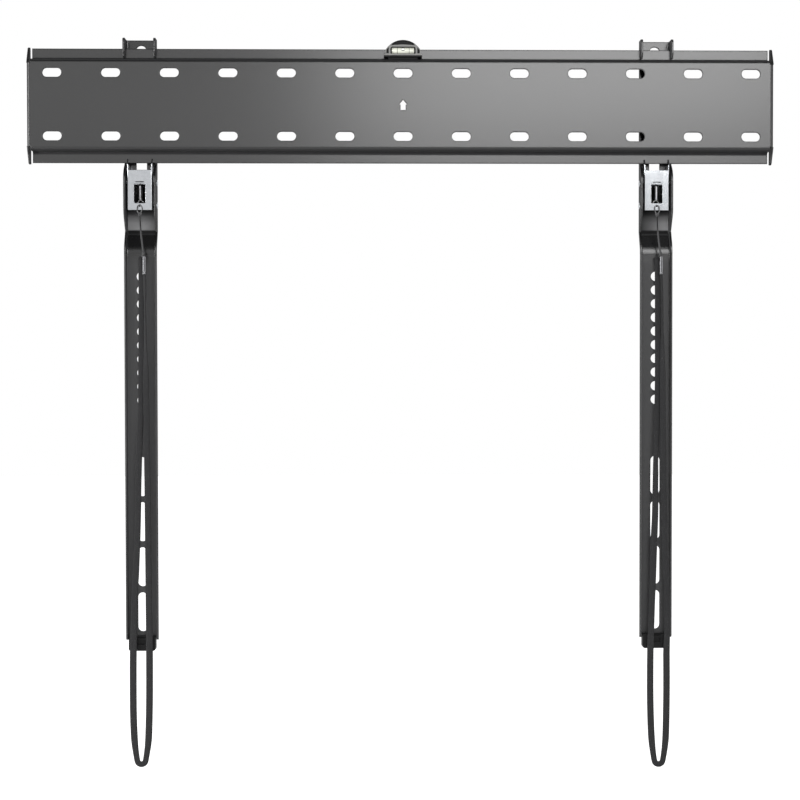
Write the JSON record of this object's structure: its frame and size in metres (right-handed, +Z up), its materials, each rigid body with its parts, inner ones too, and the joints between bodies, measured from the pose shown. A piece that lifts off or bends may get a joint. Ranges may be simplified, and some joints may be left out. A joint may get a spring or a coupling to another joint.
{
  "type": "tv wall mount",
  "caption": "Fixed television wall mount: a long slotted wall plate with folded rails and a spirit level, and hooked arms with sprung latches released by pull laces.",
  "frame": {"origin": "centre of the pattern of wall slots, on the face that lies on the wall", "axes": "+X along the plate, to the right seen from the wall side; +Y from the wall to the television; +Z up"},
  "size_m": [0.8696, 0.021, 0.8553],
  "materials": {
    "black_powder_coat": "satin black powder coat",
    "black_plastic": "fine-grained black moulding",
    "clear_vial": "clear, with pale yellow fluid",
    "zinc_plate": "bright zinc plating",
    "black_spring_steel": "blackened spring wire",
    "grey_string": "twisted dark grey cord",
    "black_lace": "flat woven black lace",
    "grey_sleeve": "satin grey"
  },
  "bodies": {
    "wall_plate": {"wall_plate": "black_powder_coat", "level_housing": "black_plastic", "level_vial": "clear_vial"},
    "left_arm": {"left_arm": "black_powder_coat", "left_spring_pin": "zinc_plate", "left_guide_rivets": "zinc_plate", "left_end_cap": "black_plastic", "left_latch_spring": "black_spring_steel"},
    "left_latch": {"left_latch": "zinc_plate", "left_pull_string": "grey_string", "left_pull_loop": "black_lace", "left_loop_ferrule": "grey_sleeve"},
    "right_arm": {"right_arm": "black_powder_coat", "right_spring_pin": "zinc_plate", "right_guide_rivets": "zinc_plate", "right_end_cap": "black_plastic", "right_latch_spring": "black_spring_steel"},
    "right_latch": {"right_latch": "zinc_plate", "right_pull_string": "grey_string", "right_pull_loop": "black_lace", "right_loop_ferrule": "grey_sleeve"}
  },
  "joints": [
    {"name": "left_arm_slide", "type": "slide", "parent": "wall_plate", "child": "left_arm", "axis": [1, 0, 0], "range_m": [-0.103, 0.262]},
    {"name": "left_latch_slide", "type": "slide", "parent": "left_arm", "child": "left_latch", "axis": [0, 0, 1], "range_m": [-0.008, 0], "stiffness_N_per_m": 600, "springref_m": 0.01, "deforming": ["left_latch_spring"]},
    {"name": "right_arm_slide", "type": "slide", "parent": "wall_plate", "child": "right_arm", "axis": [1, 0, 0], "range_m": [-0.254, 0.112]},
    {"name": "right_latch_slide", "type": "slide", "parent": "right_arm", "child": "right_latch", "axis": [0, 0, 1], "range_m": [-0.008, 0], "stiffness_N_per_m": 600, "springref_m": 0.01, "deforming": ["right_latch_spring"]}
  ]
}
